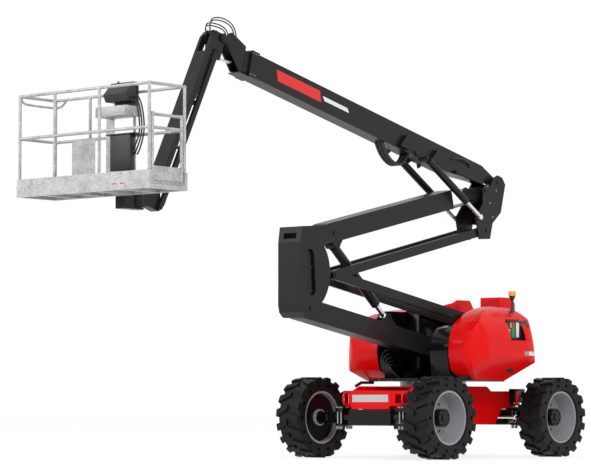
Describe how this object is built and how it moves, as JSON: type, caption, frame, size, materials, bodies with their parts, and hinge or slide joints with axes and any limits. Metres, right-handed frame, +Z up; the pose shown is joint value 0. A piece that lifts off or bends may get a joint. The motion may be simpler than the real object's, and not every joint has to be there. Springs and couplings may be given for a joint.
{
  "type": "articulating boom lift",
  "caption": "Four-wheel articulating boom lift: slewing turret with red hoods, two stacked parallelogram arms, telescopic boom, jib and wide basket, parked with the basket raised",
  "frame": {"origin": "on the ground, at the middle of the overall length and width", "axes": "+X forward, towards the basket; +Y to the machine's left; +Z up"},
  "size_m": [7.9686, 2.38, 5.0207],
  "materials": {
    "amber": "gloss",
    "black_paint": "satin",
    "black_plastic": "satin",
    "chrome": "polished",
    "engine_metal": "satin",
    "galvanised": "satin",
    "grey_paint": "satin",
    "red_paint": "gloss",
    "rim_paint": "satin",
    "steel": "satin",
    "tyre": "matte"
  },
  "bodies": {
    "chassis": {"chassis_frame": "red_paint", "axle_front": "black_paint", "axle_rear": "black_paint", "slew_ring": "steel", "cover_front": "red_paint", "cover_rear": "red_paint"},
    "turret": {"turret_frame": "black_paint", "counterweight": "red_paint", "valve_cabinet": "black_paint", "engine": "engine_metal", "fuel_tank": "black_paint", "ground_controls": "black_plastic"},
    "hood_left": {"hood_left": "red_paint", "beacon": "amber"},
    "hood_right": {"hood_right": "red_paint"},
    "platform": {"platform_clevis": "grey_paint", "platform_floor": "galvanised", "toe_boards": "galvanised", "guard_rails": "galvanised", "platform_console": "black_plastic"},
    "gate": {"gate": "galvanised"},
    "lower_arm": {"lower_arm": "grey_paint"},
    "lower_link": {"lower_link": "grey_paint"},
    "tower": {"tower": "grey_paint"},
    "upper_arm": {"upper_arm": "grey_paint"},
    "upper_link": {"upper_link": "grey_paint"},
    "riser": {"riser": "grey_paint"},
    "arm_cylinder": {"arm_cylinder": "grey_paint"},
    "arm_rod": {"arm_rod": "chrome"},
    "boom": {"boom": "grey_paint"},
    "boom_cylinders": {"boom_cylinders": "grey_paint"},
    "boom_rods": {"boom_rods": "chrome"},
    "level_cylinder": {"level_cylinder": "grey_paint"},
    "level_rod": {"level_rod": "chrome"},
    "fly_boom": {"fly_boom": "grey_paint"},
    "jib_bracket": {"jib_bracket": "grey_paint"},
    "tilt_cylinder": {"tilt_cylinder": "grey_paint"},
    "tilt_rod": {"tilt_rod": "chrome"},
    "jib_arm": {"jib_arm": "grey_paint"},
    "jib_link": {"jib_link": "grey_paint"},
    "jib_head": {"jib_head": "grey_paint"},
    "jib_cylinder": {"jib_cylinder": "grey_paint"},
    "jib_rod": {"jib_rod": "chrome"},
    "steer_rod_front": {"steer_rod_front": "chrome"},
    "steer_rod_rear": {"steer_rod_rear": "chrome"},
    "knuckle_front_left": {"knuckle_front_left": "black_paint"},
    "wheel_front_left": {"tyre_front_left": "tyre", "rim_front_left": "rim_paint"},
    "knuckle_front_right": {"knuckle_front_right": "black_paint"},
    "wheel_front_right": {"tyre_front_right": "tyre", "rim_front_right": "rim_paint"},
    "knuckle_rear_left": {"knuckle_rear_left": "black_paint"},
    "wheel_rear_left": {"tyre_rear_left": "tyre", "rim_rear_left": "rim_paint"},
    "knuckle_rear_right": {"knuckle_rear_right": "black_paint"},
    "wheel_rear_right": {"tyre_rear_right": "tyre", "rim_rear_right": "rim_paint"}
  },
  "joints": [
    {"name": "steer_front_left", "type": "hinge", "parent": "chassis", "child": "knuckle_front_left", "pos_m": [-1.12627, 0.77, 0.508], "axis": [0, 0, 1], "range_deg": [-25, 25]},
    {"name": "wheel_front_left", "type": "hinge", "parent": "knuckle_front_left", "child": "wheel_front_left", "pos_m": [-1.12627, 1.0125, 0.508], "axis": [0, 1, 0], "continuous": true},
    {"name": "steer_front_right", "type": "hinge", "parent": "chassis", "child": "knuckle_front_right", "pos_m": [-1.12627, -0.77, 0.508], "axis": [0, 0, 1], "range_deg": [-25, 25]},
    {"name": "wheel_front_right", "type": "hinge", "parent": "knuckle_front_right", "child": "wheel_front_right", "pos_m": [-1.12627, -1.0125, 0.508], "axis": [0, 1, 0], "continuous": true},
    {"name": "steer_rod_front_slide", "type": "slide", "parent": "chassis", "child": "steer_rod_front", "axis": [0, 1, 0], "range_m": [-0.0839, 0.0839]},
    {"name": "steer_rear_left", "type": "hinge", "parent": "chassis", "child": "knuckle_rear_left", "pos_m": [-3.47627, 0.77, 0.508], "axis": [0, 0, 1], "range_deg": [-25, 25]},
    {"name": "wheel_rear_left", "type": "hinge", "parent": "knuckle_rear_left", "child": "wheel_rear_left", "pos_m": [-3.47627, 1.0125, 0.508], "axis": [0, 1, 0], "continuous": true},
    {"name": "steer_rear_right", "type": "hinge", "parent": "chassis", "child": "knuckle_rear_right", "pos_m": [-3.47627, -0.77, 0.508], "axis": [0, 0, 1], "range_deg": [-25, 25]},
    {"name": "wheel_rear_right", "type": "hinge", "parent": "knuckle_rear_right", "child": "wheel_rear_right", "pos_m": [-3.47627, -1.0125, 0.508], "axis": [0, 1, 0], "continuous": true},
    {"name": "steer_rod_rear_slide", "type": "slide", "parent": "chassis", "child": "steer_rod_rear", "axis": [0, 1, 0], "range_m": [-0.0839, 0.0839]},
    {"name": "slew", "type": "hinge", "parent": "chassis", "child": "turret", "pos_m": [-2.30127, 0, 0.965], "axis": [0, 0, 1], "range_deg": [-175, 175]},
    {"name": "arm_lift", "type": "hinge", "parent": "turret", "child": "lower_arm", "pos_m": [-2.73627, 0, 1.296], "axis": [0, 1, 0], "range_deg": [-40, 9]},
    {"name": "lower_link_turn", "type": "hinge", "parent": "turret", "child": "lower_link", "pos_m": [-3.19627, 0, 1.711], "axis": [0, 1, 0], "range_deg": [-40.5, 9.5]},
    {"name": "tower_turn", "type": "hinge", "parent": "lower_arm", "child": "tower", "pos_m": [0.29878, 0, 1.82025], "axis": [0, 1, 0], "range_deg": [-9.5, 40.5]},
    {"name": "upper_arm_turn", "type": "hinge", "parent": "tower", "child": "upper_arm", "pos_m": [-0.14122, 0, 2.75025], "axis": [0, 1, 0], "range_deg": [-9.5, 40.5]},
    {"name": "upper_link_turn", "type": "hinge", "parent": "tower", "child": "upper_link", "pos_m": [-0.16122, 0, 2.23525], "axis": [0, 1, 0], "range_deg": [-9.5, 40.5]},
    {"name": "riser_turn", "type": "hinge", "parent": "upper_arm", "child": "riser", "pos_m": [-3.22146, 0, 3.45572], "axis": [0, 1, 0], "range_deg": [-40.5, 9.5]},
    {"name": "arm_cylinder_turn", "type": "hinge", "parent": "upper_arm", "child": "arm_cylinder", "pos_m": [-0.31165, 0, 2.61078], "axis": [0, -1, 0], "range_deg": [-17.66, 76.78]},
    {"name": "arm_rod_slide", "type": "slide", "parent": "arm_cylinder", "child": "arm_rod", "axis": [-0.765, 0, -0.6441], "range_m": [-0.169, 0.7443]},
    {"name": "boom_lift", "type": "hinge", "parent": "riser", "child": "boom", "pos_m": [-3.49146, 0, 3.58072], "axis": [0, -1, 0], "range_deg": [-12.9, 57.1]},
    {"name": "boom_cylinders_turn", "type": "hinge", "parent": "boom", "child": "boom_cylinders", "pos_m": [-1.92626, 0, 3.77916], "axis": [0, -1, 0], "range_deg": [-4.14, 1.32]},
    {"name": "boom_rods_slide", "type": "slide", "parent": "boom_cylinders", "child": "boom_rods", "axis": [-0.8564, 0, -0.5164], "range_m": [-0.1392, 0.6092]},
    {"name": "level_cylinder_turn", "type": "hinge", "parent": "boom", "child": "level_cylinder", "pos_m": [-2.65229, 0.126, 3.67032], "axis": [0, -1, 0], "range_deg": [-2.44, 9.1]},
    {"name": "level_rod_slide", "type": "slide", "parent": "level_cylinder", "child": "level_rod", "axis": [-0.9776, 0, -0.2102], "range_m": [-0.034, 0.1436]},
    {"name": "telescope", "type": "slide", "parent": "boom", "child": "fly_boom", "axis": [0.9748, 0, 0.2233], "range_m": [0, 3.4]},
    {"name": "jib_bracket_turn", "type": "hinge", "parent": "fly_boom", "child": "jib_bracket", "pos_m": [1.74854, 0, 4.94072], "axis": [0, -1, 0], "range_deg": [-57.6, 13.4]},
    {"name": "tilt_cylinder_turn", "type": "hinge", "parent": "fly_boom", "child": "tilt_cylinder", "pos_m": [0.94634, 0, 4.60737], "axis": [0, -1, 0], "range_deg": [-1.39, 4.44]},
    {"name": "tilt_rod_slide", "type": "slide", "parent": "tilt_cylinder", "child": "tilt_rod", "axis": [0.9943, 0, 0.1064], "range_m": [-0.227, 0.0528]},
    {"name": "jib_lift", "type": "hinge", "parent": "jib_bracket", "child": "jib_arm", "pos_m": [1.89854, 0, 4.98072], "axis": [0, -1, 0], "range_deg": [-6.4, 133.6]},
    {"name": "jib_link_turn", "type": "hinge", "parent": "jib_bracket", "child": "jib_link", "pos_m": [1.88854, 0, 4.77072], "axis": [0, -1, 0], "range_deg": [-6.9, 134.1]},
    {"name": "jib_head_turn", "type": "hinge", "parent": "jib_arm", "child": "jib_head", "pos_m": [2.83227, 0, 3.09972], "axis": [0, -1, 0], "range_deg": [-134.1, 6.9]},
    {"name": "jib_cylinder_turn", "type": "hinge", "parent": "jib_bracket", "child": "jib_cylinder", "pos_m": [1.88854, 0, 4.77072], "axis": [0, -1, 0], "range_deg": [-6.84, 132.81]},
    {"name": "jib_rod_slide", "type": "slide", "parent": "jib_cylinder", "child": "jib_rod", "axis": [0.46, 0, -0.8879], "range_m": [-0.0216, 0.4115]},
    {"name": "platform_turn", "type": "hinge", "parent": "jib_head", "child": "platform", "pos_m": [3.11827, 0, 2.99372], "axis": [0, 0, 1], "range_deg": [-90, 90]},
    {"name": "hood_left_open", "type": "hinge", "parent": "turret", "child": "hood_left", "pos_m": [-2.30127, 0.62, 1.8903], "axis": [1, 0, 0], "range_deg": [0, 50]},
    {"name": "hood_right_open", "type": "hinge", "parent": "turret", "child": "hood_right", "pos_m": [-2.30127, -0.45, 1.8903], "axis": [-1, 0, 0], "range_deg": [0, 50]},
    {"name": "gate_open", "type": "hinge", "parent": "platform", "child": "gate", "pos_m": [3.91327, 1.011, 3.53672], "axis": [0, 0, 1], "range_deg": [0, 90]}
  ],
  "couplings": [
    {"joint": "steer_front_right", "follows": "steer_front_left", "ratio": 1},
    {"joint": "steer_rod_front_slide", "follows": "steer_front_left", "m_per_rad": -0.19},
    {"joint": "steer_rear_right", "follows": "steer_rear_left", "ratio": 1},
    {"joint": "steer_rod_rear_slide", "follows": "steer_rear_left", "m_per_rad": 0.19},
    {"joint": "lower_link_turn", "follows": "arm_lift", "ratio": 1},
    {"joint": "tower_turn", "follows": "arm_lift", "ratio": -1},
    {"joint": "upper_arm_turn", "follows": "arm_lift", "ratio": -1},
    {"joint": "upper_link_turn", "follows": "arm_lift", "ratio": -1},
    {"joint": "riser_turn", "follows": "arm_lift", "ratio": 1},
    {"joint": "arm_cylinder_turn", "follows": "arm_lift", "ratio": -1.907},
    {"joint": "arm_rod_slide", "follows": "arm_lift", "m_per_rad": -1.0633},
    {"joint": "boom_cylinders_turn", "follows": "boom_lift", "ratio": -0.06379},
    {"joint": "boom_rods_slide", "follows": "boom_lift", "m_per_rad": 0.60928},
    {"joint": "level_cylinder_turn", "follows": "boom_lift", "ratio": 0.15064},
    {"joint": "level_rod_slide", "follows": "boom_lift", "m_per_rad": 0.14204},
    {"joint": "jib_bracket_turn", "follows": "boom_lift", "ratio": -1},
    {"joint": "tilt_cylinder_turn", "follows": "boom_lift", "ratio": 0.06899},
    {"joint": "tilt_rod_slide", "follows": "boom_lift", "m_per_rad": -0.22573},
    {"joint": "jib_link_turn", "follows": "jib_lift", "ratio": 1},
    {"joint": "jib_head_turn", "follows": "jib_lift", "ratio": -1},
    {"joint": "jib_cylinder_turn", "follows": "jib_lift", "ratio": 0.99032},
    {"joint": "jib_rod_slide", "follows": "jib_lift", "m_per_rad": 0.17562}
  ]
}
